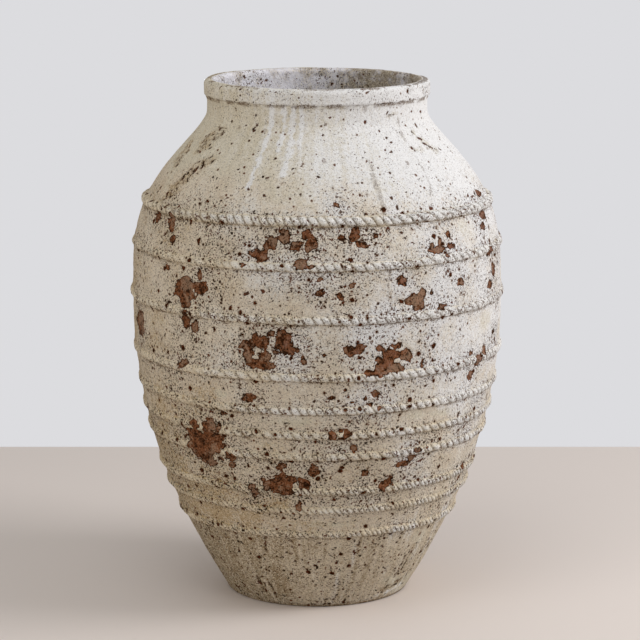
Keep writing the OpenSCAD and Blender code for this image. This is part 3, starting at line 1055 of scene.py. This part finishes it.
def shared_ground(sh, look):
    """The marks of a piece, and the noises and colours that several layers of its material share."""
    marks = {name: sh.mark(name) for name in MARKS}
    clean = sh.between(marks["wash"], look.white_from, look.white_from + 0.55)
    return Ground(**marks, cloud=sh.noise(48 * MM, 6.0, 0.6), blotch=sh.noise(11 * MM, 4.0, 0.6),
                  grain=sh.noise(4.5 * MM, 4.0, 0.65), grit=sh.noise(2.7 * MM, 2.0, 0.5, sh.shifted(9 * MM, 6 * MM)),
                  rough=sh.between(marks["crust"], 0.0, 0.4, 0.85, 1.0),
                  clean=clean, bright=sh.mix(clean, CRUMB_CREAM, CRUMB))


def coat(sh, g, look):
    """Limewash from thin and khaki to thick and white, and the rough inside of the vase, both carrying the painted
    light and shade of the wash mark.
    """
    steady = sh.between(g.wash, 0.6, 1.1, 1.0, 0.5)
    clouds = sh.plus(sh.centred(g.cloud, 0.45), sh.times(sh.centred(g.blotch, 0.8), g.rough))
    grainy = sh.times(sh.centred(g.grain, 1.2), g.rough)
    thick = sh.plus(g.wash, sh.plus(sh.times(clouds, steady), grainy))
    cream = sh.mix(sh.between(g.crust, 0.0, 0.25), CREAM_SMOOTH, look.cream)
    colour = sh.mix(sh.between(thick, -0.05, 0.55), look.khaki, cream)
    pale = sh.mix(g.clean, WARM_WHITE, look.white)
    colour = sh.mix(sh.between(thick, 0.52, 1.12), colour, pale)
    raw = sh.mix(sh.between(thick, 0.1, 0.9), INSIDE_DARK, INSIDE_PALE)
    return sh.mix(g.inside, colour, raw)


def grime_and_shade_layer(sh, g, colour):
    """Grime and painted shade that follow the marks and settle in the grain."""
    dirty = sh.between(sh.plus(g.grime, sh.centred(g.grain, 1.2)), 0.2, 1.0)
    return sh.mix(sh.times(dirty, 0.8), colour, GRIME_AND_SHADE)


def sandy(sh, g, colour):
    """Dark and light grains of sand."""
    sand = sh.noise(2.2 * MM, 1.0, 0.5)
    colour = sh.mix(sh.times(sh.between(sand, 0.34, 0.48, 0.24, 0.0), g.rough), colour, SAND)
    return sh.mix(sh.times(sh.between(sand, 0.50, 0.64, 0.0, 0.60), g.rough), colour, g.bright)


def speckled(sh, g, colour):
    """Pits, scratches and specks over a colour, and where the holes are."""
    scratch = sh.between(sh.plus(g.grit, sh.times(g.crust, 0.12)), 0.66, 0.71)
    fine, fine_rings = sh.specks(7.5 * MM, 0.8 * MM, 2.3 * MM,
                                 sh.between(g.crust, 0.0, 1.0, 0.12, 0.42), sh.shifted(3 * MM, 2.4 * MM))
    coarse, coarse_rings = sh.specks(14 * MM, 1.2 * MM, 4.6 * MM,
                                     sh.between(g.crust, 0.0, 1.0, 0.03, 0.50), sh.shifted(5 * MM, 6 * MM))
    pits = sh.between(sh.plus(g.pit, sh.centred(g.grain, 0.9)), 0.35, 0.65)
    holes = sh.most(fine, sh.most(pits, scratch))
    tint = sh.mix(sh.between(sh.plus(g.wash, sh.centred(g.blotch, 2.0)), 0.4, 1.2), SPECK, SPECK_PALE)
    tint = sh.mix(sh.between(g.blotch, 0.48, 0.60), tint, SPECK_RED)
    colour = sh.mix(sh.times(sh.most(fine_rings, coarse_rings), 0.4), colour, RING)
    colour = sh.mix(sh.times(holes, 0.97), colour, tint)
    coarse_tint = sh.mix(sh.between(g.grain, 0.46, 0.58), CLAY_DARK, SPECK_RED)
    return sh.mix(coarse, colour, coarse_tint), sh.most(holes, coarse)


def bare_clay(sh, g, edge):
    """Rust with dark pits, scraps of pale wash in the middle, a film of wash, and painted shade round the edge."""
    worn = sh.plus(sh.centred(g.blotch, 3.0), sh.centred(g.grain, 3.4))
    # The clay darkens toward the edge of a patch: painted shade under the step of the wash.
    light = sh.plus(worn, sh.between(edge, 0.0, 2.5, -0.45, 0.15))
    clay = sh.mix(sh.between(light, -0.4, 0.4), CLAY_DARK, CLAY)
    scraps = sh.times(sh.between(sh.plus(g.cloud, sh.centred(g.blotch, 0.4)), 0.48, 0.54), sh.between(edge, 1.6, 3.2))
    clay = sh.mix(sh.times(scraps, 0.62), clay, CLAY_PALE)
    clay = sh.mix(sh.times(sh.between(g.grit, 0.56, 0.64), 0.8), clay, CLAY_DARK)
    clay = sh.mix(sh.times(sh.between(g.grit, 0.42, 0.32), 0.5), clay, CLAY_PALE)
    film = sh.between(sh.plus(g.wash, sh.centred(g.blotch, 1.6)), 0.80, 1.45, 0.0, 0.6)
    return sh.mix(sh.times(film, sh.between(edge, 1.0, 3.0)), clay, CLAY_FILM)


def bump(sh, g, crumbs, holes, patch):
    """The normal of a ground with crumbs on it, and with holes and patches sunk into it."""
    height = sh.plus(sh.minus(g.grain, holes), sh.times(crumbs, 0.7))
    height = sh.minus(height, sh.times(patch, 0.9))
    return sh.node("Bump", {"Strength": 0.8, "Distance": 1.7 * MM, "Height": height}).outputs["Normal"]


def limewash(slot):
    """Worn limewash over red clay, with pits, specks, grime, painted light and shade, and bare patches. It is matt.
    """
    sh, look = Shader(bpy.data.materials.new(slot)), LOOKS[slot]
    g = shared_ground(sh, look)
    crumbs = sh.times(sh.between(g.grain, 0.53, 0.61), sh.between(g.crust, 0.1, 0.9, 0.10, 0.85))
    colour = sandy(sh, g, grime_and_shade_layer(sh, g, sh.mix(crumbs, coat(sh, g, look), g.bright)))
    colour, holes = speckled(sh, g, colour)
    edge = sh.plus(g.bare, sh.plus(sh.centred(g.grain, 7.0), sh.centred(g.blotch, 3.0)))
    patch = sh.between(edge, -0.3, 0.3)
    sh.set(sh.surface["Base Color"], sh.mix(patch, colour, bare_clay(sh, g, edge)))
    sh.set(sh.surface["Roughness"], sh.between(patch, 0.0, 1.0, 0.93, 0.78))
    sh.set(sh.surface["Specular IOR Level"], 0.06)
    sh.set(sh.surface["Normal"], bump(sh, g, crumbs, holes, patch))
    return sh.owner


# ---- stage, light and camera

FLOOR_BACK, FLOOR_NEAR, FLOOR_SIDE = 1.03, -6.0, 6.0
AIM = (0, 0, 0.5)  # the lamps point here
BACKGROUND = srgb(220, 220, 223)
FLOOR_COLOUR = srgb(206, 198, 192)
FLOOR_SEEN = srgb(235, 225, 218)


def floor():
    mesh = bpy.data.meshes.new("floor")
    corners = [(-FLOOR_SIDE, FLOOR_NEAR, 0), (FLOOR_SIDE, FLOOR_NEAR, 0),
               (FLOOR_SIDE, FLOOR_BACK, 0), (-FLOOR_SIDE, FLOOR_BACK, 0)]
    mesh.from_pydata(corners, [], [(0, 1, 2, 3)])
    sh = Shader(bpy.data.materials.new("floor"))
    seen = sh.node("LightPath").outputs["Is Camera Ray"]
    sh.set(sh.surface["Base Color"], sh.mix(seen, FLOOR_COLOUR, FLOOR_SEEN))
    sh.set(sh.surface["Roughness"], 0.7)
    mesh.materials.append(sh.owner)
    plane = added("floor", mesh)


def world():
    """Soft light from all round; the camera sees a pale plain background."""
    sh = Shader(bpy.data.worlds.new("studio"))
    bpy.context.scene.world = sh.owner
    light = sh.nodes["Background"]
    sh.set(light.inputs["Color"], (1.0, 0.99, 0.975, 1))
    sh.set(light.inputs["Strength"], 0.38)
    seen = sh.node("Background", {"Color": BACKGROUND})
    path = sh.node("LightPath").outputs
    shown = sh.most(sh.most(path["Is Camera Ray"], path["Is Glossy Ray"]), path["Is Transmission Ray"])
    either = sh.node("MixShader", {"Fac": shown, 1: light.outputs[0], 2: seen.outputs[0]})
    sh.set(sh.nodes["World Output"].inputs["Surface"], either.outputs[0])


def lamp(name, place, size, watts, colour):
    data = bpy.data.lights.new(name, "AREA")
    data.shape, data.size = "SQUARE", size
    data.energy, data.color = watts, colour
    light = added(name, data)
    light.location = place
    light.rotation_euler = (Vector(AIM) - Vector(place)).to_track_quat("-Z", "Y").to_euler()


def camera():
    data = bpy.data.cameras.new("camera")
    data.sensor_width = SENSOR_WIDTH
    data.lens = PHOTO_FOCAL_PX / PHOTO_SIZE * SENSOR_WIDTH
    seen_by = added("camera", data)
    seen_by.location = CAMERA_AT
    seen_by.rotation_euler = (math.pi / 2 - CAMERA_DOWN, 0, 0)
    bpy.context.scene.camera = seen_by


camera()
world()
floor()
lamp("window", (3.3, -0.5, 2.4), 1.8, 83, (0.98, 0.97, 0.985))
lamp("fill", (-2.8, -2.2, 1.2), 2.0, 21, (1.0, 0.94, 0.86))
lamp("ceiling", (-0.5, -1.3, 3.2), 1.6, 13, (0.96, 0.98, 1.0))
bpy.context.scene.view_settings.view_transform = "Standard"

looks = {slot: limewash(slot) for slot in LOOKS}
base_slab(looks["foot_limewash"])
stack = ["base_slab"] + RING_NODES + ["rim_ring"]
for below, node, above in zip(stack, RING_NODES, stack[2:]):
    slot = "foot_limewash" if node == "foot_wall" else "wall_limewash"
    wall_ring(node, below, above, looks[slot])
rim_ring(looks["rim_limewash"])
for rope in ropes:
    rope_band(rope, looks["rope_limewash"])
